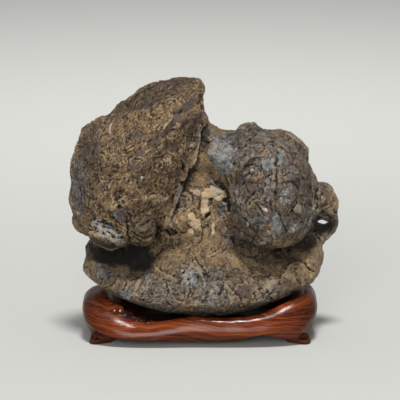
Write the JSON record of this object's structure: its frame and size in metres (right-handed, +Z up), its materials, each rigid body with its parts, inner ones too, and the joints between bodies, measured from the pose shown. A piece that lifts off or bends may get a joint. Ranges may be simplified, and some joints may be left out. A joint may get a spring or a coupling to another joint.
{
  "type": "scholars rock",
  "caption": "Gnarled dark scholars rock with two overhanging lobes and a side knob, resting in a low carved hardwood stand with short out-turned feet.",
  "frame": {"origin": "on the table, under the middle of the whole object", "axes": "+Z up, front faces -Y, +X to the right as the front is seen"},
  "size_m": [0.218, 0.1238, 0.2111],
  "materials": {
    "stone": "weathered, waxed in places, dark brown to slate grey",
    "stand": "polished red-brown rosewood with dark figure"
  },
  "bodies": {
    "root": {"stone": "stone", "stand": "stand"}
  },
  "joints": []
}
